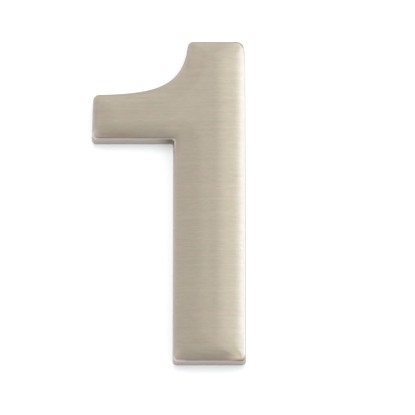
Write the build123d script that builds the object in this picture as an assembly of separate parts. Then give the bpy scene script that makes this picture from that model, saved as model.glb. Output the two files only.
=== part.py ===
from build123d import *
import os
from math import cos, radians, sin, tan

# House number 1, one solid casting. It stands upright as it does on a wall: x runs to the right,
# z runs up and the face looks towards -y. The back is flat at y = 0. The origin is on the back,
# midway between the two fixing holes, on the stem's centre line. Lengths are in millimetres.

# Figure, measured on the outline of its back
figure_height = 101.6
stem_width = 22.6
top_width = 18.15
flag_reach = 25.35
flag_underside = 69.75
flag_end_height = 14.7
flag_end_lean = 1.0

# Sweep from the flag's tip up to the stem's top: its slope at each end in degrees, how far that
# slope is held as a share of the sweep's run or rise, and how much less it is held when set inwards
sweep_slope_at_tip = 1.6
sweep_slope_at_top = 83.6
sweep_hold_at_tip = 0.605
sweep_hold_at_top = 0.91
sweep_hold_trim = 0.6

# Corner radii
foot_radius = 1.4
flag_radius = 1.5
tip_radius = 1.9
top_left_radius = 1.8
top_right_radius = 2.7
inner_radius = 0.5

# Casting: walls drawn in towards the front, a soft rim, and a face that swells to a narrow flat,
# steeper on the flag than on the broader stem. The swell's power is how fast the face falls off
# towards the rim. Its width at the foot and at the top is given, and along the sides it is what
# the flat leaves. The flat's corners take a share of the flat's width where they lie. A softness
# is how much larger a corner is three fifths up the swell, as a share of the crown beside it.
thickness = 7.1
draft_angle = 3.0
rim_radius = 0.8
crown_rise = 1.1
crown_power = 2.5
foot_crown = 8.6
top_crown = 6.5
crown_flat_on_stem = 2.4
crown_flat_at_top = 1.0
crown_flat_on_flag = 0.8
flat_corner_share = 0.33
foot_softness = 0.31
top_softness = 0.28
flag_softness = 0.20
crown_steps = 9

# Two blind holes in the back, tapped for 8-32 studs
hole_spacing = 64.0
hole_radius = 1.73
hole_front_wall = 1.3
drill_point_angle = 118.0
countersink_margin = 0.55
countersink_angle = 90.0

# Worked out from the sizes above
wall_depth = thickness - crown_rise
draft_inset = wall_depth * tan(radians(draft_angle))
stem_crown = (stem_width - crown_flat_on_stem) / 2
flag_crown = (flag_end_height - crown_flat_on_flag) / 2
neck_crown = top_width - stem_crown - crown_flat_at_top
foot_flat_radius = crown_flat_on_stem * flat_corner_share
top_flat_radius = crown_flat_at_top * flat_corner_share
flag_flat_radius = crown_flat_on_flag * flat_corner_share
inner_flat_radius = inner_radius + (stem_crown + flag_crown) / 2
foot_widening = stem_crown * foot_softness
top_widening = neck_crown * top_softness
flag_widening = flag_crown * flag_softness
drill_point_depth = hole_radius / tan(radians(drill_point_angle / 2))
hole_depth = thickness - hole_front_wall - drill_point_depth
countersink_depth = countersink_margin / tan(radians(countersink_angle / 2))


def heading(degrees):
    """Unit vector of a direction in the plane of the figure."""
    return Vector(cos(radians(degrees)), sin(radians(degrees)))


def crossing(side, other):
    """Point where two sides meet, each given as a point and a direction in degrees."""
    (start, angle), (far, other_angle) = side, other
    gap, along, across = far - start, heading(angle), heading(other_angle)
    share = (gap.X * across.Y - gap.Y * across.X) / (along.X * across.Y - along.Y * across.X)
    return start + along * share


def figure_sides(inset, swell):
    """The figure's straight sides, anticlockwise from its foot.

    All are moved inwards by the inset, and then by a share, the swell, of what is left of each
    one's way to the flat of the face.
    """
    right = stem_width / 2
    end = -right - flag_reach
    sides = {
        "foot": (Vector(0, 0), 0, foot_crown),
        "right": (Vector(right, 0), 90, stem_crown),
        "top": (Vector(right, figure_height), 180, top_crown),
        "neck": (Vector(right - top_width, figure_height), 180 + sweep_slope_at_top, neck_crown),
        "ledge": (Vector(end, flag_underside + flag_end_height), 180 + sweep_slope_at_tip, flag_crown),
        "end": (Vector(end, flag_underside), 270 - flag_end_lean, flag_crown),
        "underside": (Vector(end, flag_underside), 0, flag_crown),
        "left": (Vector(-right, 0), 270, stem_crown),
    }
    moved = {}
    for name, (point, angle, crown) in sides.items():
        distance = inset + (crown - inset) * swell
        moved[name] = (point + heading(angle + 90) * distance, angle)
    return moved


def corner_arc(side, following, radius):
    """Arc of a given radius in the corner between two sides."""
    corner = crossing(side, following)
    turn = radians((following[1] - side[1] + 180) % 360 - 180)
    reach = radius * tan(abs(turn) / 2)
    start = corner - heading(side[1]) * reach
    return TangentArc(start, corner + heading(following[1]) * reach, tangent=heading(side[1]))


def sweep_holds(inset, swell):
    """How far the sweep holds its slope, at the stem's top and at the flag's tip."""
    sides = figure_sides(0, 0)
    top = crossing(sides["top"], sides["neck"])
    tip = crossing(sides["ledge"], sides["end"])
    top_trim, tip_trim = [
        sweep_hold_trim * (inset + (crown - inset) * swell) for crown in (neck_crown, flag_crown)
    ]
    hold_at_top = (top.Y - tip.Y) * sweep_hold_at_top - top_trim
    hold_at_tip = (top.X - tip.X) * sweep_hold_at_tip - tip_trim
    return hold_at_top, hold_at_tip


def sweep_curve(start, end, inset, swell):
    """Concave curve that drops from the stem's top and runs out along the flag to its tip."""
    sides = figure_sides(inset, swell)
    top = crossing(sides["top"], sides["neck"])
    tip = crossing(sides["ledge"], sides["end"])
    hold_at_top, hold_at_tip = sweep_holds(inset, swell)
    falling = top + heading(sides["neck"][1]) * hold_at_top
    level = tip - heading(sides["ledge"][1]) * hold_at_tip
    return Bezier(start, falling, level, end)


def outline(inset, depth, swell=0):
    """The figure's outline, set inwards, at a depth in front of the back.

    The swell is 0 on the walls and 1 on the flat of the face, and leads each corner from its own
    radius to that of the flat. An outer corner is widened on the way, by a share that is small
    near the rim and grows to 1 at three fifths of the swell.
    """
    sides = figure_sides(inset, swell)

    def rounded(side, following, radius, flat_radius, widening=0):
        share = 28.9 * swell**3 * (1 - swell) ** 2
        led = radius + (flat_radius - radius) * swell + widening * share
        return corner_arc(sides[side], sides[following], led)

    foot_right = rounded("foot", "right", foot_radius, foot_flat_radius, foot_widening)
    top_right = rounded("right", "top", top_right_radius, top_flat_radius, top_widening)
    top_left = rounded("top", "neck", top_left_radius, top_flat_radius, top_widening)
    tip = rounded("ledge", "end", tip_radius, flag_flat_radius, flag_widening)
    flag = rounded("end", "underside", flag_radius, flag_flat_radius, flag_widening)
    inner = rounded("underside", "left", inner_radius + inset, inner_flat_radius)
    foot_left = rounded("left", "foot", foot_radius, foot_flat_radius, foot_widening)
    loop = Wire([
        foot_right, Line(foot_right @ 1, top_right @ 0),
        top_right, Line(top_right @ 1, top_left @ 0),
        top_left, sweep_curve(top_left @ 1, tip @ 0, inset, swell),
        tip, Line(tip @ 1, flag @ 0),
        flag, Line(flag @ 1, inner @ 0),
        inner, Line(inner @ 1, foot_left @ 0),
        foot_left, Line(foot_left @ 1, foot_right @ 0),
    ])
    return Plane((0, -depth, -figure_height / 2), x_dir=(1, 0, 0), z_dir=(0, -1, 0)) * loop


def make_walls():
    """Solid from the flat back to the rim, with drafted walls."""
    return Solid.make_loft([outline(0, 0), outline(draft_inset, wall_depth)], ruled=True)


def make_crown():
    """Face that swells from the rim and ends level in a flat."""
    sections = []
    for step in range(crown_steps + 1):
        swell = step / crown_steps
        rise = crown_rise * (1 - (1 - swell) ** crown_power)
        sections.append(outline(draft_inset, wall_depth + rise, swell))
    return Solid.make_loft(sections)


def round_rim(figure):
    """Round the rim, where the walls meet the swelling face."""
    rim = figure.edges().filter_by(Plane.XZ).group_by(Axis.Y)
    level = [group for group in rim if abs(group[0].center().Y + wall_depth) < 0.001]
    return figure.fillet(rim_radius, level[0])


def make_hole():
    """Blind hole from the back, with a drill point and a countersunk mouth, on the y axis."""
    profile = Polyline(
        (0, 0),
        (hole_radius + countersink_margin, 0),
        (hole_radius, -countersink_depth),
        (hole_radius, -hole_depth),
        (0, -hole_depth - drill_point_depth),
        close=True,
    )
    return revolve(make_face(profile), Axis.Y)


def make_figure():
    """The whole casting, with its fixing holes in line up the stem."""
    figure = round_rim(make_walls() + make_crown())
    for height in (-hole_spacing / 2, hole_spacing / 2):
        figure -= Pos(0, 0, height) * make_hole()
    return figure


if __name__ == "__main__":
    os.makedirs("parts", exist_ok=True)
    export_step(make_figure(), "parts/figure_one.step")
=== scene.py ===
"""House number 1, a cast figure in brushed satin nickel, on a white wall in soft studio light.

Lengths are in metres and angles in degrees where nothing else is said. The figure stands up along
+Z, its face looks towards -Y, and its back lies flat at zero.
"""

import logging
from collections.abc import Iterable
from dataclasses import dataclass
from enum import Enum
from math import atan, atan2, ceil, cos, pi, radians, sin, tan

import bmesh
import bpy
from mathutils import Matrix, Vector

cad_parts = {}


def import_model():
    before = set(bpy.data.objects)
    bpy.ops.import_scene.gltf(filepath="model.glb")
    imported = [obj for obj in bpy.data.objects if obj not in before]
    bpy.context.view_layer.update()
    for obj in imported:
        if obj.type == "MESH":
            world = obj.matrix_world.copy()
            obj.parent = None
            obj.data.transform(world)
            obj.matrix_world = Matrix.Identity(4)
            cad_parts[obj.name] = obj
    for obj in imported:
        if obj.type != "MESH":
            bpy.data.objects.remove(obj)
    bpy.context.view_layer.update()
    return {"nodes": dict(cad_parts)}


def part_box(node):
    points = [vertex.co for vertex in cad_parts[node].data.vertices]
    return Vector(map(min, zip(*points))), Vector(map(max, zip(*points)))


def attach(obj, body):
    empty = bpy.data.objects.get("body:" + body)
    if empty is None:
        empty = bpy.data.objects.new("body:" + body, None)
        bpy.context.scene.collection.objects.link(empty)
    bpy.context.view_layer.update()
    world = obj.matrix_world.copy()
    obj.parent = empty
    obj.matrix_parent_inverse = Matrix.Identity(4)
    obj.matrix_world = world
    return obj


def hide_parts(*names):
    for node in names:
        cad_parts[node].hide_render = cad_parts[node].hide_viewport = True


LOG = logging.getLogger("house_number")
MM = 0.001
NODE = "figure_one"

# The product swell**3 * (1 - swell)**2 is largest three fifths up the swell, where it is 1 / 28.9.
BULGE_SCALE = 28.9

# The reach, in millimetres, of a patch of painted light or shade along an axis on which it has no end
# on the figure.
THROUGH = 1000.0

# The middle of Blender's noise, whose values lie between 0 and 1.
NOISE_MIDDLE = 0.5

Triple = tuple[float, float, float]
Colour = tuple[float, float, float]
Verts = list[bmesh.types.BMVert]
Edges = list[bmesh.types.BMEdge]


class Finish(Enum):
    """The casting's material slots, in the order in which its mesh carries them."""

    FACE = 0
    WALL = 1
    BACK = 2
    THREAD = 3
    RIM = 4


class HolePlace(Enum):
    """The two fixing holes, each with its side of the figure's middle."""

    LOWER = -1
    UPPER = 1


class SideName(Enum):
    """The figure's straight sides, anticlockwise from the foot.

    The neck and the ledge are the lines in which the concave sweep starts at the stem's top and
    ends at the flag's tip.
    """

    FOOT = "foot"
    RIGHT = "right"
    TOP = "top"
    NECK = "neck"
    LEDGE = "ledge"
    END = "end"
    UNDERSIDE = "underside"
    LEFT = "left"


def heading(angle: float) -> Vector:
    """Return the unit vector of a direction in the figure's plane, anticlockwise from its right."""
    return Vector((cos(radians(angle)), sin(radians(angle))))


def add_loop(mesh: bmesh.types.BMesh, points: list[Vector]) -> tuple[Verts, Edges]:
    """Add a closed loop through points to a mesh.

    Args:
        mesh: The mesh.
        points: The loop's points, in order.

    Returns:
        The loop's vertices, in the points' order, and its edges.
    """
    made = bmesh.ops.create_circle(mesh, cap_ends=False, segments=len(points), radius=1.0)
    loop = sorted(made["verts"], key=lambda vertex: atan2(vertex.co.y, vertex.co.x))
    for vertex, point in zip(loop, points):
        vertex.co = point
    return loop, list({edge for vertex in loop for edge in vertex.link_edges})


def make_object(name: str, mesh: bmesh.types.BMesh) -> bpy.types.Object:
    """Turn a built mesh into an object of the scene.

    Args:
        name: The object's name.
        mesh: The built mesh, which is freed.

    Returns:
        The linked object.
    """
    data = bpy.data.meshes.new(name)
    mesh.to_mesh(data)
    mesh.free()
    made = bpy.data.objects.new(name, data)
    bpy.context.scene.collection.objects.link(made)
    return made


@dataclass
class NodeBoard:
    """A node tree with short ways to add nodes and join them."""

    tree: bpy.types.NodeTree

    @staticmethod
    def socket(sockets: bpy.types.bpy_prop_collection, name: str | int) -> bpy.types.NodeSocket:
        """Find a socket in use.

        Args:
            sockets: A node's inputs or outputs.
            name: The socket's name or its place.

        Returns:
            The socket.
        """
        if isinstance(name, int):
            return sockets[name]
        return next(each for each in sockets if each.enabled and each.name == name)

    def add(self, kind: str, inputs: dict | None = None, **settings: object) -> bpy.types.Node:
        """Add a node.

        Args:
            kind: The node's type, without its ShaderNode prefix.
            inputs: For each input by name or place, its value or the socket that feeds it.
            settings: The node's own settings.

        Returns:
            The new node.
        """
        node = self.tree.nodes.new("ShaderNode" + kind)
        for name, value in settings.items():
            setattr(node, name, value)
        self.feed(node, inputs or {})
        return node

    def feed(self, node: bpy.types.Node, inputs: dict) -> None:
        """Set or link a node's inputs.

        Args:
            node: The node to feed.
            inputs: For each input by name or place, its value or the socket that feeds it.
        """
        for name, value in inputs.items():
            target = self.socket(node.inputs, name)
            if isinstance(value, bpy.types.NodeSocket):
                self.tree.links.new(value, target)
            else:
                target.default_value = value

    def maths(self, operation: str, *values: object) -> bpy.types.NodeSocket:
        """Add a Math node and return its result."""
        return self.add("Math", dict(enumerate(values)), operation=operation).outputs[0]

    def ramp(self, value: object, stops: list[tuple[float, float]]) -> bpy.types.NodeSocket:
        """Add a curve through stops.

        Args:
            value: The socket that is looked up.
            stops: Pairs of a value between 0 and 1 and its result.

        Returns:
            The result's socket.
        """
        node = self.add("FloatCurve", {"Value": value})
        curve = node.mapping.curves[0]
        while len(curve.points) < len(stops):
            curve.points.new(0.5, 0.5)
        for point, place in zip(curve.points, stops):
            point.location = place
            point.handle_type = "AUTO_CLAMPED"
        node.mapping.update()
        return node.outputs[0]

    def blend(self, share: object, low: object, high: object) -> bpy.types.NodeSocket:
        """Mix two colours by a share and return the result."""
        inputs = {"Factor": share, "A": low, "B": high}
        return self.add("Mix", inputs, data_type="RGBA").outputs["Result"]


@dataclass(frozen=True)
class Grain:
    """Marks in the metal: how many there are to a metre along each axis, and how strong they are.

    The hue is how far each mark brightens red, green and blue, as shares of its strength.
    """

    per_metre: Triple
    strength: float
    detail: float = 3.0
    hue: Colour = (1.0, 1.0, 1.0)

    def noise(self, board: NodeBoard, place: bpy.types.NodeSocket) -> bpy.types.NodeSocket:
        """Add the marks' noise.

        Args:
            board: The material's node tree.
            place: Socket of the place on the casting.

        Returns:
            The socket of the noise, between 0 and 1.
        """
        stretched = board.add("Mapping", {"Vector": place, "Scale": self.per_metre}).outputs[0]
        inputs = {"Vector": stretched, "Scale": 1.0, "Detail": self.detail}
        return board.add("TexNoise", inputs).outputs[0]

    def vary(self, board: NodeBoard, place: bpy.types.NodeSocket, mean: float) -> bpy.types.NodeSocket:
        """Add a value that the marks raise and lower.

        Args:
            board: The material's node tree.
            place: Socket of the place on the casting.
            mean: The value between the marks.

        Returns:
            The varied value's socket.
        """
        low = mean - self.strength * NOISE_MIDDLE
        return board.maths("MULTIPLY_ADD", self.noise(board, place), self.strength, low)


@dataclass(frozen=True)
class PaintedLightPatch:
    """A patch of painted light or shade, where the plate's colour is tinted, in millimetres from the
    row's origin.

    It is full at its centre and fades out at its reach along each axis. The raggedness is how far
    the grain shifts its edge, as a share of the reach.
    """

    centre: Triple
    reach: Triple
    tint: Colour
    raggedness: float = 0.3
    grain: Grain = Grain((900, 900, 900), 1.0)

    def apply(self, board: NodeBoard, place: bpy.types.NodeSocket, tone: object) -> object:
        """Tint the plate's tone within the patch of painted light or shade.

        Args:
            board: The material's node tree.
            place: Socket of the place on the casting.
            tone: The tone without the painted patch.

        Returns:
            The socket of the tone with the painted patch.
        """
        scale = [1 / (reach * MM) for reach in self.reach]
        shift = [-middle / reach for middle, reach in zip(self.centre, self.reach)]
        inputs = {"Vector": place, "Location": shift, "Scale": scale}
        within = board.add("Mapping", inputs).outputs[0]
        away = board.add("VectorMath", {0: within}, operation="LENGTH").outputs["Value"]
        edge = board.maths("MULTIPLY_ADD", self.grain.noise(board, place), self.raggedness, away)
        shifted = NOISE_MIDDLE * self.raggedness
        inputs = {"Value": edge, "From Min": 1.0 + shifted, "From Max": shifted}
        share = board.add("MapRange", inputs, interpolation_type="SMOOTHSTEP").outputs[0]
        tint = board.blend(share, (1, 1, 1, 1), (*self.tint, 1))
        return board.add("VectorMath", {0: tone, 1: tint}, operation="MULTIPLY").outputs[0]


@dataclass(frozen=True)
class Nickel:
    """Satin nickel plate in one of the finishes that the casting has.

    The tone marks lighten and darken its colour, patches of painted light and shade tint it in places,
    and the scratches vary its roughness and dent it.
    A brushed plate mirrors more widely across its brush lines, which run level round the upright
    axis, a quarter turn from the shader's own direction.
    """

    name: str
    colour: Colour
    roughness: float
    tone_marks: tuple[Grain, ...]
    scratches: Grain
    scratch_depth: float
    brushed: float = 0.0
    brush_turn: float = 0.25
    painted_light_and_shade: tuple[PaintedLightPatch, ...] = ()

    def tone(self, board: NodeBoard, place: bpy.types.NodeSocket) -> object:
        """Add the plate's tone, with its marks and its painted light and shade.

        Args:
            board: The material's node tree.
            place: Socket of the place on the casting.

        Returns:
            The tone's socket.
        """
        tone: object = self.colour
        for marks in self.tone_marks:
            shift = marks.vary(board, place, 0.0)
            inputs = {0: shift, 1: marks.hue, 2: (1, 1, 1)}
            varied = board.add("VectorMath", inputs, operation="MULTIPLY_ADD").outputs[0]
            tone = board.add("VectorMath", {0: tone, 1: varied}, operation="MULTIPLY").outputs[0]
        for painted_patch in self.painted_light_and_shade:
            tone = painted_patch.apply(board, place, tone)
        return tone

    def build(self) -> bpy.types.Material:
        """Build the material.

        Returns:
            The material, with its marks on Object coordinates.
        """
        material = bpy.data.materials.new(self.name)
        material.use_nodes = True
        board = NodeBoard(material.node_tree)
        shader = material.node_tree.nodes["Principled BSDF"]
        place = board.add("TexCoord").outputs["Object"]
        tone = self.tone(board, place)
        height = self.scratches.noise(board, place)
        bump = board.add("Bump", {"Height": height, "Strength": 1.0, "Distance": self.scratch_depth})
        board.feed(shader, {
            "Base Color": tone,
            "Metallic": 1.0,
            "Roughness": self.scratches.vary(board, place, self.roughness),
            "Normal": bump.outputs[0],
        })
        if self.brushed:
            tangent = board.add("Tangent", direction_type="RADIAL", axis="Z")
            board.feed(shader, {
                "Anisotropic": self.brushed,
                "Anisotropic Rotation": self.brush_turn,
                "Tangent": tangent.outputs[0],
            })
        return material


CLOUDS = Grain((60, 60, 60), 0.05)

FACE_MARKS = (
    # Level bands and brush lines, from the longest to the shortest.
    Grain((9, 9, 2000), 0.13, detail=1.0),
    Grain((70, 70, 1400), 0.15),
    Grain((400, 400, 1900), 0.18),
    # Fine specks, and soft patches of pinker and greener metal.
    Grain((1500, 1500, 1700), 0.08),
    Grain((160, 160, 240), 0.10, hue=(1.0, -0.4, 0.6)),
    CLOUDS,
)

FACE_PAINTED_LIGHT_AND_SHADE = (
    # Painted shade along the foot, darker and pinker, and a painted highlight at its left corner.
    PaintedLightPatch((1.0, -6.0, -51.0), (15.0, THROUGH, 4.6), (0.86, 0.76, 0.78), 0.5),
    PaintedLightPatch((-10.8, -6.0, -50.2), (3.6, THROUGH, 4.2), (1.33, 1.25, 1.38), 0.5),
    # Painted warm shade along the flag's underside, and a painted dark band at the flag's end.
    PaintedLightPatch((-27.5, -6.0, 19.6), (8.5, THROUGH, 4.2), (0.97, 0.88, 0.85), 0.5),
    PaintedLightPatch((-35.2, -6.0, 26.8), (1.4, THROUGH, 8.5), (0.84, 0.84, 0.83)),
    # A painted highlight at the foot, towards the right.
    PaintedLightPatch((8.0, -6.0, -49.6), (3.6, THROUGH, 1.8), (1.50, 1.46, 1.42)),
    # Painted shade over the top, with a painted dark streak at the left and a painted light streak
    # beside it.
    PaintedLightPatch((3.5, -6.0, 48.0), (8.8, THROUGH, 5.0), (0.92, 0.91, 0.92)),
    PaintedLightPatch((-6.8, -6.0, 45.5), (1.2, THROUGH, 6.5), (0.88, 0.89, 0.88)),
    PaintedLightPatch((-3.8, -6.0, 44.6), (3.0, THROUGH, 6.5), (1.08, 1.08, 1.08)),
    # A painted highlight on the lower corner of the flag's end.
    PaintedLightPatch((-35.2, -6.0, 20.4), (2.2, THROUGH, 2.1), (1.30, 1.28, 1.44)),
    # The inner corner: a painted highlight above it, and painted shade to the right of it.
    PaintedLightPatch((-9.8, -6.0, 21.4), (5.0, THROUGH, 3.6), (1.16, 1.16, 1.15)),
    PaintedLightPatch((-10.2, -6.0, 17.6), (1.8, THROUGH, 4.2), (0.88, 0.88, 0.88)),
    # Painted shade in a strip along the right side, just above the foot.
    PaintedLightPatch((10.1, -6.0, -46.5), (1.6, THROUGH, 8.0), (0.90, 0.90, 0.90)),
)

RIM_PAINTED_LIGHT_AND_SHADE = (
    # The foot's right corner: a painted highlight line, a painted dark line below it, and painted shade
    # at its end.
    PaintedLightPatch((8.0, -6.4, -49.7), (3.4, 0.8, 1.2), (1.75, 1.70, 1.62)),
    PaintedLightPatch((9.8, -5.4, -50.4), (4.6, 1.0, 1.2), (0.48, 0.39, 0.29)),
    PaintedLightPatch((10.8, -6.0, -49.6), (1.4, THROUGH, 1.6), (0.66, 0.60, 0.52)),
    # Painted highlights on the corners at the foot's left and at the flag's lower left.
    PaintedLightPatch((-10.0, -6.2, -49.9), (4.0, 1.4, 1.6), (1.85, 1.77, 1.90)),
    PaintedLightPatch((-35.4, -6.2, 20.2), (2.0, 1.4, 1.8), (1.75, 1.70, 1.80)),
    # A painted highlight along the right edge, and painted shade at its top end.
    PaintedLightPatch((10.9, -6.0, 0.0), (0.5, THROUGH, THROUGH), (1.95, 2.05, 2.20), 0.0),
    PaintedLightPatch((10.4, -6.0, 49.0), (2.4, THROUGH, 4.5), (0.76, 0.79, 0.84)),
    # A painted highlight on the rim at the inner corner.
    PaintedLightPatch((-10.8, -6.0, 18.0), (1.2, THROUGH, 3.2), (1.40, 1.38, 1.38)),
)

WALL_PAINTED_SHADE = (
    # Painted shade under the flag in the inner corner, dark and ragged, and its darkest part.
    PaintedLightPatch((-12.2, -4.0, 19.0), (4.6, 6.0, 2.2), (0.50, 0.47, 0.43), 1.2),
    PaintedLightPatch((-11.7, -4.0, 19.0), (2.2, 4.0, 1.6), (0.66, 0.62, 0.58), 1.2),
)

PLATE = {
    Finish.FACE: Nickel(
        name="brushed_face",
        colour=(0.52, 0.457, 0.365),
        roughness=0.31,
        tone_marks=FACE_MARKS,
        scratches=Grain((110, 110, 6000), 0.10),
        scratch_depth=0.010 * MM,
        brushed=0.88,
        painted_light_and_shade=FACE_PAINTED_LIGHT_AND_SHADE,
    ),
    Finish.RIM: Nickel(
        name="soft_rim",
        colour=(0.45, 0.40, 0.342),
        roughness=0.30,
        tone_marks=(Grain((330, 330, 330), 0.12), CLOUDS),
        scratches=Grain((2500, 2500, 2500), 0.08),
        scratch_depth=0.006 * MM,
        painted_light_and_shade=RIM_PAINTED_LIGHT_AND_SHADE,
    ),
    Finish.WALL: Nickel(
        name="satin_wall",
        # Its colour, darker and pinker than the face's plate, is painted shade for the shaded wall
        # close by that the walls mirror.
        colour=(0.43, 0.363, 0.329),
        roughness=0.42,
        tone_marks=(Grain((400, 400, 400), 0.10), CLOUDS),
        scratches=Grain((2500, 2500, 2500), 0.08),
        scratch_depth=0.008 * MM,
        painted_light_and_shade=WALL_PAINTED_SHADE,
    ),
    Finish.BACK: Nickel(
        name="ground_back",
        colour=(0.50, 0.45, 0.38),
        roughness=0.45,
        tone_marks=(Grain((2200, 2200, 90), 0.16), CLOUDS),
        scratches=Grain((5000, 5000, 160), 0.14),
        scratch_depth=0.016 * MM,
    ),
    Finish.THREAD: Nickel(
        name="cut_thread",
        colour=(0.48, 0.42, 0.35),
        roughness=0.4,
        tone_marks=(Grain((900, 900, 900), 0.2),),
        scratches=Grain((3000, 6000, 3000), 0.1),
        scratch_depth=0.008 * MM,
    ),
}


@dataclass(frozen=True)
class Side:
    """A straight side of the figure, as a point on it and its direction."""

    point: Vector
    angle: float

    def inset(self, distance: float) -> "Side":
        """Return this side moved inwards by a distance."""
        return Side(self.point + heading(self.angle + 90) * distance, self.angle)

    def meet(self, other: "Side") -> Vector:
        """Find the corner that this side makes with another.

        Args:
            other: The side that crosses this one.

        Returns:
            The point where the two lines cross.
        """
        along, across = heading(self.angle), heading(other.angle)
        gap = other.point - self.point
        share = (gap.x * across.y - gap.y * across.x) / (along.x * across.y - along.y * across.x)
        return self.point + along * share


@dataclass(frozen=True)
class Corner:
    """A rounded corner between two sides, with its radius on the walls and on the face's flat.

    The softness is how much larger the radius is where it is largest, three fifths up the swell.
    """

    before: SideName
    after: SideName
    radius: float
    flat_radius: float
    softness: float = 0.0

    def led(self, inset: float, swell: float) -> float:
        """Give the corner's radius on an outline.

        Args:
            inset: Distance by which the outline is set inwards, which widens an inner corner.
            swell: Share of the way from the rim to the face's flat.

        Returns:
            The radius.
        """
        radius = self.radius + (inset if self.before is SideName.UNDERSIDE else 0)
        widening = self.softness * BULGE_SCALE * swell**3 * (1 - swell) ** 2
        return radius + (self.flat_radius - radius) * swell + widening

    def points(self, sides: dict[SideName, Side], radius: float, steps: int) -> list[Vector]:
        """Place the points of the corner's arc.

        Args:
            sides: The figure's sides by name.
            radius: Radius of the arc.
            steps: Number of stretches that the arc is divided into.

        Returns:
            The arc's points, from the side before it to the side after it.
        """
        before, after = sides[self.before], sides[self.after]
        turn = (after.angle - before.angle + 180) % 360 - 180
        start = before.meet(after) - heading(before.angle) * radius * tan(radians(abs(turn) / 2))
        bend = 1 if turn > 0 else -1
        centre = start + heading(before.angle + 90 * bend) * radius
        return [
            centre + heading(before.angle - 90 * bend + turn * step / steps) * radius
            for step in range(steps + 1)
        ]


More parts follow.
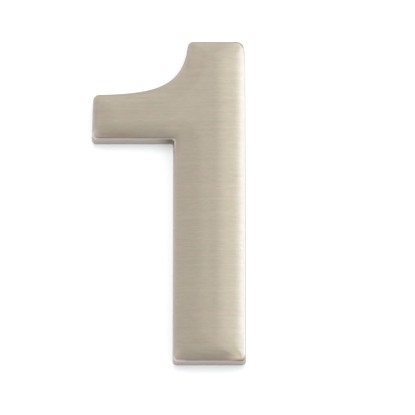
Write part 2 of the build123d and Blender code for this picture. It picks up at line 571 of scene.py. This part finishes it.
@dataclass
class FigureOutline:
    """The outline of the figure 1, which can be set inwards on the walls and over the face.

    A crown is how far in from a side the face stops swelling, and a flat is the width that is left
    between two crowns. The sweep is one curve with two guide points, whose holds are shares of the
    run between its two ends. The trim is how much of the inset the holds lose.
    """

    height: float
    stem_width: float = 22.6 * MM
    top_width: float = 18.15 * MM
    flag_reach: float = 25.35 * MM
    flag_underside: float = 69.75 * MM
    flag_end_height: float = 14.7 * MM
    flag_end_lean: float = 1.0
    sweep_slope_at_tip: float = 1.6
    sweep_slope_at_top: float = 83.6
    sweep_hold_at_tip: float = 0.605
    sweep_hold_at_top: float = 0.91
    sweep_hold_trim: float = 0.6
    foot_radius: float = 1.4 * MM
    flag_radius: float = 1.5 * MM
    tip_radius: float = 1.9 * MM
    top_left_radius: float = 1.8 * MM
    top_right_radius: float = 2.7 * MM
    inner_radius: float = 0.5 * MM
    foot_crown: float = 8.6 * MM
    top_crown: float = 6.5 * MM
    flat_on_stem: float = 2.4 * MM
    flat_at_top: float = 1.0 * MM
    flat_on_flag: float = 0.8 * MM
    flat_corner_share: float = 0.33
    foot_softness: float = 0.31
    top_softness: float = 0.28
    flag_softness: float = 0.20
    line_pitch: float = 1.1 * MM
    corner_steps: int = 10
    sweep_steps: int = 56

    @property
    def stem_crown(self) -> float:
        """Distance from the back's outline to the flat of the face, on the stem."""
        return (self.stem_width - self.flat_on_stem) / 2

    @property
    def flag_crown(self) -> float:
        """Distance from the back's outline to the flat of the face, on the flag."""
        return (self.flag_end_height - self.flat_on_flag) / 2

    @property
    def neck_crown(self) -> float:
        """Distance from the back's outline to the flat of the face, at the stem's narrow top."""
        return self.top_width - self.stem_crown - self.flat_at_top

    def crowns(self) -> dict[SideName, float]:
        """Tell how far in the face's flat lies.

        Returns:
            The distance from each side.
        """
        return {
            SideName.FOOT: self.foot_crown,
            SideName.RIGHT: self.stem_crown,
            SideName.TOP: self.top_crown,
            SideName.NECK: self.neck_crown,
            SideName.LEDGE: self.flag_crown,
            SideName.END: self.flag_crown,
            SideName.UNDERSIDE: self.flag_crown,
            SideName.LEFT: self.stem_crown,
        }

    def sides(self, inset: float, swell: float = 0) -> dict[SideName, Side]:
        """Place the straight sides.

        Args:
            inset: Distance by which all of them are moved inwards.
            swell: Share of the rest of the way to the face's flat, from 0 to 1.

        Returns:
            The sides by name.
        """
        right = self.stem_width / 2
        end = -right - self.flag_reach
        low, high = -self.height / 2, self.height / 2
        tip = Vector((end, low + self.flag_underside + self.flag_end_height))
        underside = Vector((end, low + self.flag_underside))
        placed = {
            SideName.FOOT: Side(Vector((0, low)), 0),
            SideName.RIGHT: Side(Vector((right, 0)), 90),
            SideName.TOP: Side(Vector((0, high)), 180),
            SideName.NECK: Side(Vector((right - self.top_width, high)), 180 + self.sweep_slope_at_top),
            SideName.LEDGE: Side(tip, 180 + self.sweep_slope_at_tip),
            SideName.END: Side(underside, 270 - self.flag_end_lean),
            SideName.UNDERSIDE: Side(underside, 0),
            SideName.LEFT: Side(Vector((-right, 0)), 270),
        }
        crowns = self.crowns()
        return {
            name: side.inset(inset + (crowns[name] - inset) * swell)
            for name, side in placed.items()
        }

    def corners(self) -> list[Corner]:
        """List the outer and inner corners.

        Returns:
            The corners, anticlockwise from the foot's right one.
        """
        foot_flat = self.flat_on_stem * self.flat_corner_share
        top_flat = self.flat_at_top * self.flat_corner_share
        flag_flat = self.flat_on_flag * self.flat_corner_share
        inner_flat = self.inner_radius + (self.stem_crown + self.flag_crown) / 2
        foot_soft = self.foot_softness * self.stem_crown
        top_soft = self.top_softness * self.neck_crown
        flag_soft = self.flag_softness * self.flag_crown
        side = SideName
        return [
            Corner(side.FOOT, side.RIGHT, self.foot_radius, foot_flat, foot_soft),
            Corner(side.RIGHT, side.TOP, self.top_right_radius, top_flat, top_soft),
            Corner(side.TOP, side.NECK, self.top_left_radius, top_flat, top_soft),
            Corner(side.LEDGE, side.END, self.tip_radius, flag_flat, flag_soft),
            Corner(side.END, side.UNDERSIDE, self.flag_radius, flag_flat, flag_soft),
            Corner(side.UNDERSIDE, side.LEFT, self.inner_radius, inner_flat),
            Corner(side.LEFT, side.FOOT, self.foot_radius, foot_flat, foot_soft),
        ]

    def sweep(self, start: Vector, end: Vector, inset: float, swell: float) -> list[Vector]:
        """Place the points of the concave sweep between the stem's top and the flag's tip.

        Args:
            start: Where the corner at the stem's top ends.
            end: Where the corner at the flag's tip begins.
            inset: Distance by which the outline is set inwards.
            swell: Share of the rest of the way to the face's flat.

        Returns:
            The points between start and end, without either.
        """
        outer, sides, crowns = self.sides(0), self.sides(inset, swell), self.crowns()
        top, neck, ledge, tip_end = SideName.TOP, SideName.NECK, SideName.LEDGE, SideName.END
        run = outer[top].meet(outer[neck]) - outer[ledge].meet(outer[tip_end])
        trims = {
            name: self.sweep_hold_trim * (inset + (crowns[name] - inset) * swell)
            for name in (neck, ledge)
        }
        falling = heading(sides[neck].angle) * (run.y * self.sweep_hold_at_top - trims[neck])
        level = heading(sides[ledge].angle) * (run.x * self.sweep_hold_at_tip - trims[ledge])
        first = sides[top].meet(sides[neck]) + falling
        second = sides[ledge].meet(sides[tip_end]) - level
        placed = []
        for step in range(1, self.sweep_steps):
            share = step / self.sweep_steps
            rest = 1 - share
            near = start * rest**3 + first * (3 * rest**2 * share)
            placed.append(near + second * (3 * rest * share**2) + end * share**3)
        return placed

    def points(self, inset: float = 0, swell: float = 0) -> list[Vector]:
        """Place the whole outline.

        Args:
            inset: Distance by which it is set inwards.
            swell: Share of the rest of the way to the face's flat, from 0 to 1.

        Returns:
            The outline's points, always as many, anticlockwise from the foot's right corner.
        """
        sides = self.sides(inset, swell)
        arcs = [
            corner.points(sides, corner.led(inset, swell), self.corner_steps)
            for corner in self.corners()
        ]
        placed: list[Vector] = []
        for arc, following, gaps in zip(arcs, arcs[1:] + arcs[:1], self.line_steps()):
            placed += arc
            if gaps:
                run = following[0] - arc[-1]
                placed += [arc[-1] + run * (step / gaps) for step in range(1, gaps)]
            else:
                placed += self.sweep(arc[-1], following[0], inset, swell)
        return placed

    def line_steps(self) -> list[int]:
        """Count the stretches of the line that follows each corner.

        Returns:
            The counts in the corners' order, with 0 for the sweep.
        """
        sides = self.sides(0)
        counts = []
        corners = self.corners()
        for corner, following in zip(corners, corners[1:] + corners[:1]):
            if corner.after is SideName.NECK:
                counts.append(0)
                continue
            start = sides[corner.before].meet(sides[corner.after])
            end = sides[following.before].meet(sides[following.after])
            counts.append(max(1, ceil((end - start).length / self.line_pitch)))
        return counts


@dataclass(frozen=True)
class Station:
    """One level of the casting's section: how far in its outline lies, how deep, and its finish."""

    inset: float
    swell: float
    depth: float
    finish: Finish


@dataclass
class FixingHole:
    """A blind hole in the back, countersunk and tapped for a stud.

    Its depths count from the back towards the face.
    """

    place: HolePlace
    thickness: float
    spacing: float = 64.0 * MM
    wall_radius: float = 1.73 * MM
    thread_radius: float = 2.05 * MM
    pitch: float = 0.794 * MM
    front_wall: float = 1.3 * MM
    point_angle: float = 118.0
    point_flat_share: float = 0.06
    countersink_margin: float = 0.55 * MM
    thread_start: float = 0.32 * MM
    thread_turns: int = 5
    turns_past_end: int = 1
    steps: int = 40
    reach_margin: float = 0.01 * MM
    merge_distance: float = 0.001 * MM

    @property
    def point_depth(self) -> float:
        """Height of the drill's cone at the hole's end."""
        return self.wall_radius / tan(radians(self.point_angle / 2))

    @property
    def depth(self) -> float:
        """Depth at which the hole's wall ends and the drill's cone begins."""
        return self.thickness - self.front_wall - self.point_depth

    @property
    def thread_end(self) -> float:
        """Depth at which the thread ends."""
        return self.thread_start + self.thread_turns * self.pitch

    @property
    def height(self) -> float:
        """Height of the hole's axis over the figure's middle."""
        return self.place.value * self.spacing / 2

    def at(self, radius: float, depth: float) -> Vector:
        """Return a point of the hole's section, straight above its axis."""
        return Vector((0, -depth, self.height + radius))

    def add_ring(self, mesh: bmesh.types.BMesh, radius: float, depth: float) -> Edges:
        """Add a round loop about the hole's axis.

        Args:
            mesh: The casting's mesh.
            radius: Radius of the loop.
            depth: Its depth in front of the back.

        Returns:
            The loop's edges.
        """
        turns = [heading(360 * step / self.steps) * radius for step in range(self.steps)]
        return add_loop(mesh, [Vector((turn.x, -depth, self.height + turn.y)) for turn in turns])[1]

    def parts(self, mesh: bmesh.types.BMesh) -> list:
        """List what the mesh has of the thread so far, which is all that is round the axis.

        Args:
            mesh: The casting's mesh.

        Returns:
            The thread's vertices, edges and faces.
        """
        near = self.thread_radius + self.reach_margin
        inside = {v for v in mesh.verts if Vector((v.co.x, v.co.z - self.height)).length < near}
        edges = [edge for edge in mesh.edges if inside.issuperset(edge.verts)]
        return list(inside) + edges + [face for face in mesh.faces if inside.issuperset(face.verts)]

    def add_thread(self, mesh: bmesh.types.BMesh) -> tuple[Edges, Edges]:
        """Turn the thread's zigzag about the axis, one pitch forward in a full turn.

        The zigzag starts and ends outside the thread's length, half a step off the full turns, so
        that no point of it lies where its two ends are cut level.

        Args:
            mesh: The casting's mesh.

        Returns:
            The edges of the thread's loop near the mouth and of its loop near the point.
        """
        zigzag = []
        for half_turn in range(2 * (self.thread_turns + 2 * self.turns_past_end) + 1):
            radius = self.wall_radius if half_turn % 2 else self.thread_radius
            turn = half_turn / 2 - self.turns_past_end - 0.5 / self.steps
            zigzag.append(mesh.verts.new(self.at(radius, self.thread_start + turn * self.pitch)))
        edges = [mesh.edges.new(pair) for pair in zip(zigzag, zigzag[1:])]
        bmesh.ops.spin(
            mesh,
            geom=zigzag + edges,
            cent=(0, 0, self.height),
            axis=(0, 1, 0),
            dvec=(0, -self.pitch / self.steps, 0),
            angle=2 * pi,
            steps=self.steps,
            use_merge=False,
            use_duplicate=False,
        )
        turned = [part for part in self.parts(mesh) if isinstance(part, bmesh.types.BMVert)]
        bmesh.ops.remove_doubles(mesh, verts=turned, dist=self.merge_distance)
        ends = []
        for depth, outwards in ((self.thread_start, 1), (self.thread_end, -1)):
            cut = bmesh.ops.bisect_plane(
                mesh,
                geom=self.parts(mesh),
                plane_co=(0, -depth, self.height),
                plane_no=(0, outwards, 0),
                clear_outer=True,
            )
            ends.append([part for part in cut["geom_cut"] if isinstance(part, bmesh.types.BMEdge)])
        return ends[0], ends[1]

    def build(self, mesh: bmesh.types.BMesh) -> Edges:
        """Add the hole's walls.

        Args:
            mesh: The casting's mesh.

        Returns:
            The edges of its mouth on the back, for the back to be filled round them.
        """
        near_mouth, near_point = self.add_thread(mesh)
        mouth = self.add_ring(mesh, self.wall_radius + self.countersink_margin, 0)
        throat = self.add_ring(mesh, self.wall_radius, self.depth)
        point_radius = self.wall_radius * self.point_flat_share
        point = self.add_ring(mesh, point_radius, self.depth + self.point_depth)
        bmesh.ops.bridge_loops(mesh, edges=mouth + near_mouth)
        bmesh.ops.bridge_loops(mesh, edges=near_point + throat)
        bmesh.ops.bridge_loops(mesh, edges=throat + point)
        bmesh.ops.edgenet_fill(mesh, edges=point)
        return mouth


@dataclass
class FigureCasting:
    """The whole casting: drafted walls, soft rim, swelling face, flat back and fixing holes."""

    outline: FigureOutline
    thickness: float
    draft_angle: float = 3.0
    rim_radius: float = 0.8 * MM
    rim_margin: float = 1.3
    crown_rise: float = 1.1 * MM
    crown_power: float = 2.5
    rim_steps: int = 8
    crown_steps: int = 26
    order_layer: str = "outline_order"

    @property
    def wall_depth(self) -> float:
        """Depth in front of the back at which the walls would meet the swelling face."""
        return self.thickness - self.crown_rise

    @property
    def draft_inset(self) -> float:
        """How far the walls have come in where they meet the face."""
        return self.wall_depth * tan(radians(self.draft_angle))

    @property
    def rim_reach(self) -> float:
        """Tell how far from the sharp rim its rounding begins.

        Returns:
            The distance, for the face's mean slope at the rim.
        """
        width = (self.outline.stem_crown + self.outline.flag_crown) / 2 - self.draft_inset
        slope = atan(self.crown_power * self.crown_rise / width)
        return self.rim_radius * tan((radians(90 - self.draft_angle) - slope) / 2)

    def walls(self) -> list[Station]:
        """Lay out the walls.

        Returns:
            A level just clear of the rim's rounding, and the sharp rim.
        """
        clear = self.wall_depth - self.rim_margin * self.rim_reach
        clear_inset = clear * tan(radians(self.draft_angle))
        return [
            Station(clear_inset, 0, clear, Finish.WALL),
            Station(self.draft_inset, 0, self.wall_depth, Finish.WALL),
        ]

    def crown(self) -> list[Station]:
        """Lay out the swelling face.

        Returns:
            Its levels, from just clear of the rim's rounding to the face's flat.
        """
        width = min(self.outline.crowns().values()) - self.draft_inset
        first = self.rim_margin * self.rim_reach / width
        levels = []
        for step in range(self.crown_steps + 1):
            swell = first + (1 - first) * step / self.crown_steps
            rise = self.crown_rise * (1 - (1 - swell) ** self.crown_power)
            levels.append(Station(self.draft_inset, swell, self.wall_depth + rise, Finish.FACE))
        return levels

    def place(self, station: Station) -> list[Vector]:
        """Return the outline's points at a level of the section, in the row's frame."""
        flat = self.outline.points(station.inset, station.swell)
        return [Vector((point.x, -station.depth, point.y)) for point in flat]

    def start(self, mesh: bmesh.types.BMesh) -> Edges:
        """Add the back's outline, whose vertices are numbered as the outline's points are.

        Args:
            mesh: The casting's mesh.

        Returns:
            The outline's edges.
        """
        order = mesh.verts.layers.int.new(self.order_layer)
        back, ring = add_loop(mesh, self.place(Station(0, 0, 0, Finish.BACK)))
        for index, vertex in enumerate(back):
            vertex[order] = index
        return ring

    def grow(self, mesh: bmesh.types.BMesh, ring: Edges, levels: list[Station]) -> Edges:
        """Draw an outline out towards the front, ring by ring.

        Args:
            mesh: The casting's mesh.
            ring: The edges of the outline to start from.
            levels: The section's levels in front of it.

        Returns:
            The edges of the last outline.
        """
        order = mesh.verts.layers.int[self.order_layer]
        for level in levels:
            points = self.place(level)
            grown = bmesh.ops.extrude_edge_only(mesh, edges=ring)["geom"]
            fresh = {part for part in grown if isinstance(part, bmesh.types.BMVert)}
            for vertex in fresh:
                vertex.co = points[vertex[order]]
            self.mark((part for part in grown if isinstance(part, bmesh.types.BMFace)), level.finish)
            ring = [
                part
                for part in grown
                if isinstance(part, bmesh.types.BMEdge) and fresh.issuperset(part.verts)
            ]
        return ring

    @staticmethod
    def mark(faces: Iterable[bmesh.types.BMFace], finish: Finish) -> None:
        """Give faces the slot of a finish, with soft shading on all but the back's.

        Args:
            faces: The faces.
            finish: Their finish.
        """
        for face in faces:
            face.material_index = finish.value
            face.smooth = finish is not Finish.BACK

    def build(self) -> bpy.types.Object:
        """Build the casting's mesh and its object.

        Returns:
            The object, at the origin with its place in its mesh.
        """
        mesh = bmesh.new()
        holes = [FixingHole(place, self.thickness) for place in HolePlace]
        mouths = [edge for hole in holes for edge in hole.build(mesh)]
        for face in mesh.faces:
            face.material_index = Finish.THREAD.value
        back_ring = self.start(mesh)
        rim_ring = self.grow(mesh, back_ring, self.walls())
        flat_ring = self.grow(mesh, rim_ring, self.crown())
        for ring, finish in ((flat_ring, Finish.FACE), (back_ring + mouths, Finish.BACK)):
            filled = bmesh.ops.triangle_fill(mesh, use_beauty=True, edges=ring)["geom"]
            self.mark((part for part in filled if isinstance(part, bmesh.types.BMFace)), finish)
        rounded = bmesh.ops.bevel(
            mesh,
            geom=rim_ring,
            offset=self.rim_reach,
            offset_type="OFFSET",
            affect="EDGES",
            segments=self.rim_steps,
            profile=0.5,
            material=-1,
        )
        self.mark(rounded["faces"], Finish.RIM)
        for edge in back_ring + mouths:
            edge.smooth = False
        bmesh.ops.recalc_face_normals(mesh, faces=list(mesh.faces))
        open_edges = sum(not edge.is_manifold for edge in mesh.edges)
        LOG.info("casting: %d faces, %d open edges", len(mesh.faces), open_edges)
        return make_object("figure_one_finished", mesh)

    @staticmethod
    def dress(casting: bpy.types.Object) -> None:
        """Give the casting its finishes, slot by slot."""
        for finish in Finish:
            casting.data.materials.append(PLATE[finish].build())


@dataclass(frozen=True)
class SoftPanel:
    """A soft patch of the studio, bright, or dark where its light is negative.

    Its azimuths run from straight in front of the figure round to its right, its elevations up
    from level, and over its fades its light goes to nothing outside them.
    """

    azimuth: tuple[float, float]
    elevation: tuple[float, float]
    azimuth_fade: float
    elevation_fade: float
    light: Colour


@dataclass
class Studio:
    """The white wall behind the figure, the soft light and the camera.

    The sky is pairs of how far up a direction looks, from 0 straight down to 1 straight up, and
    its light. The wall's lift is the extra light that only the camera and the mirroring metal see
    from it. The lens is in millimetres and the lamp's power in watts.
    """

    outline: FigureOutline
    wall_reach: float = 0.9
    wall_gap: float = 0.05 * MM
    wall_lift: float = 0.20
    wall_paint: Colour = (0.62, 0.608, 0.575)
    lamp_distance: float = 1.2
    lamp_elevation: float = 13.0
    lamp_size: tuple[float, float] = (0.14, 0.9)
    lamp_power: float = 10.6
    lamp_colour: Colour = (0.88, 0.94, 1.0)
    camera_distance: float = 0.9642
    camera_elevation: float = -12.21
    camera_target: Triple = (-0.558 * MM, 0.0, -1.232 * MM)
    lens: float = 269.41
    nearest_seen: float = 0.01
    sky: tuple[tuple[float, float], ...] = (
        (0.0, 0.47),
        (0.27, 0.51),
        (0.363, 0.47),
        (0.409, 0.57),
        (0.5, 0.72),
        (0.544, 0.87),
        (0.58, 0.95),
        (0.709, 1.06),
        (0.77, 1.12),
        (0.85, 0.95),
        (1.0, 0.75),
    )
    panels: tuple[SoftPanel, ...] = (
        # The broad light at the right, and the brighter one in it that the face's right side shows.
        SoftPanel((4.5, 150.0), (-40.0, 60.0), 4.2, 12.0, (0.40, 0.43, 0.43)),
        SoftPanel((25.5, 50.0), (-38.0, 32.0), 3.0, 10.0, (0.82, 1.00, 1.34)),
        # The dark high up at both sides.
        SoftPanel((55.0, 150.0), (42.0, 78.0), 10.0, 10.0, (-0.70, -0.65, -0.50)),
        SoftPanel((-150.0, -60.0), (30.0, 78.0), 10.0, 10.0, (-0.35, -0.30, -0.12)),
        # The faint cool light at the left, and the slightly darker and cooler patch overhead.
        SoftPanel((-150.0, -38.0), (-45.0, 75.0), 9.0, 15.0, (0.16, 0.16, 0.27)),
        SoftPanel((-180.0, 180.0), (50.0, 90.0), 1.0, 10.0, (-0.08, -0.05, 0.0)),
    )

    def build(self) -> None:
        """Set up the wall, the world, the lamp and the camera."""
        self.build_wall()
        self.build_world()
        self.build_lamp()
        self.build_camera()

    def build_wall(self) -> None:
        """Build the wall, open behind the figure so that its back gets light."""
        mesh = bmesh.new()
        corners = [heading(90 * quarter) * self.wall_reach for quarter in range(4)]
        for points in (corners, self.outline.points(self.wall_gap)):
            add_loop(mesh, [Vector((point.x, self.wall_gap, point.y)) for point in points])
        bmesh.ops.triangle_fill(mesh, use_beauty=True, edges=list(mesh.edges))
        turned = [face for face in mesh.faces if face.normal.y > 0]
        bmesh.ops.reverse_faces(mesh, faces=turned)
        wall = make_object("studio_wall", mesh)
        wall.data.materials.append(self.wall_material())

    def wall_material(self) -> bpy.types.Material:
        """Build the wall's white, which is clear from behind.

        Returns:
            The material, lifted to white for the camera and for what the metal mirrors.
        """
        material = bpy.data.materials.new("wall_white")
        material.use_nodes = True
        material.node_tree.nodes.clear()
        board = NodeBoard(material.node_tree)
        paint = board.add("BsdfDiffuse", {"Color": (*self.wall_paint, 1)}).outputs[0]
        path = board.add("LightPath")
        seen = board.maths("MAXIMUM", path.outputs["Is Camera Ray"], path.outputs["Is Glossy Ray"])
        lift = board.add("Emission", {"Strength": board.maths("MULTIPLY", seen, self.wall_lift)})
        lit = board.add("AddShader", {0: paint, 1: lift.outputs[0]}).outputs[0]
        clear = board.add("BsdfTransparent").outputs[0]
        behind = board.add("NewGeometry").outputs["Backfacing"]
        choice = board.add("MixShader", {0: behind, 1: lit, 2: clear}).outputs[0]
        board.add("OutputMaterial", {"Surface": choice})
        return material

    def panel_share(
        self, board: NodeBoard, panel: SoftPanel, azimuth: object, elevation: object
    ) -> bpy.types.NodeSocket:
        """Say how far a direction lies in a panel.

        Args:
            board: The world's node tree.
            panel: The panel.
            azimuth: Socket of the direction's azimuth in degrees.
            elevation: Socket of the direction's elevation in degrees.

        Returns:
            The share's socket, 0 outside and 1 inside.
        """
        share: object = 1.0
        edges = (
            (azimuth, panel.azimuth, panel.azimuth_fade),
            (elevation, panel.elevation, panel.elevation_fade),
        )
        for value, (low, high), fade in edges:
            for edge, outer in ((low, low - fade), (high, high + fade)):
                inputs = {"Value": value, "From Min": outer, "From Max": edge}
                faded = board.add("MapRange", inputs, interpolation_type="SMOOTHSTEP")
                share = board.maths("MULTIPLY", share, faded.outputs[0])
        return share

    def build_world(self) -> None:
        """Build a pale surround that is darker below, with the soft panels in it."""
        world = bpy.data.worlds.new("studio_world")
        bpy.context.scene.world = world
        world.use_nodes = True
        board = NodeBoard(world.node_tree)
        direction = board.add("TexCoord").outputs["Generated"]
        split = board.add("SeparateXYZ", {0: direction})
        forward = board.maths("MULTIPLY", split.outputs["Y"], -1.0)
        turn = board.maths("ARCTAN2", split.outputs["X"], forward)
        azimuth = board.maths("DEGREES", turn)
        elevation = board.maths("DEGREES", board.maths("ARCSINE", split.outputs["Z"]))
        height = board.maths("MULTIPLY_ADD", elevation, 1 / 180, 0.5)
        brightest = max(light for _, light in self.sky)
        stops = [(place, light / brightest) for place, light in self.sky]
        sky = board.maths("MULTIPLY", board.ramp(height, stops), brightest)
        light: object = sky
        for panel in self.panels:
            share = self.panel_share(board, panel, azimuth, elevation)
            scaled = board.add("VectorMath", {0: panel.light, 1: share}, operation="MULTIPLY")
            light = board.add("VectorMath", {0: light, 1: scaled.outputs[0]}).outputs[0]
        seen = board.add("LightPath").outputs["Is Camera Ray"]
        colour = board.blend(seen, light, (1, 1, 1, 1))
        board.feed(world.node_tree.nodes["Background"], {"Color": colour})

    def build_lamp(self) -> None:
        """Hang an upright soft lamp in front, which lights the wall and isn't mirrored in the metal."""
        data = bpy.data.lights.new("front_softbox", "AREA")
        data.shape = "RECTANGLE"
        data.size, data.size_y = self.lamp_size
        data.energy = self.lamp_power
        data.color = self.lamp_colour
        lamp = bpy.data.objects.new("front_softbox", data)
        self.aim(lamp, self.lamp_elevation, self.lamp_distance, Vector())
        lamp.visible_glossy = False

    def build_camera(self) -> None:
        """Place the camera where the photograph was taken from."""
        data = bpy.data.cameras.new("camera")
        data.lens = self.lens
        data.clip_start = self.nearest_seen
        camera = bpy.data.objects.new("camera", data)
        self.aim(camera, self.camera_elevation, self.camera_distance, Vector(self.camera_target))
        bpy.context.scene.camera = camera

    @staticmethod
    def aim(device: bpy.types.Object, elevation: float, distance: float, target: Vector) -> None:
        """Place a lamp or camera straight in front of the figure, facing it.

        Args:
            device: The lamp or camera.
            elevation: How far up it stands, in degrees.
            distance: How far from its target it stands.
            target: The point that it faces.
        """
        away = Vector((0, -cos(radians(elevation)), sin(radians(elevation))))
        device.location = target + away * distance
        device.rotation_euler = (-away).to_track_quat("-Z", "Y").to_euler()
        bpy.context.scene.collection.objects.link(device)


def main() -> None:
    """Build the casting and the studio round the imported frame."""
    logging.basicConfig(level=logging.INFO)
    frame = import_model()
    low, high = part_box(NODE)
    outline = FigureOutline(height=high.z - low.z)
    figure = FigureCasting(outline, thickness=high.y - low.y)
    casting = figure.build()
    figure.dress(casting)
    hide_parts(NODE)
    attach(casting, "root")
    LOG.info("pieces: %s stands for %s of %d nodes", casting.name, NODE, len(frame["nodes"]))
    Studio(outline).build()
    bpy.context.scene.view_settings.view_transform = "Standard"


if __name__ == "__main__":
    main()
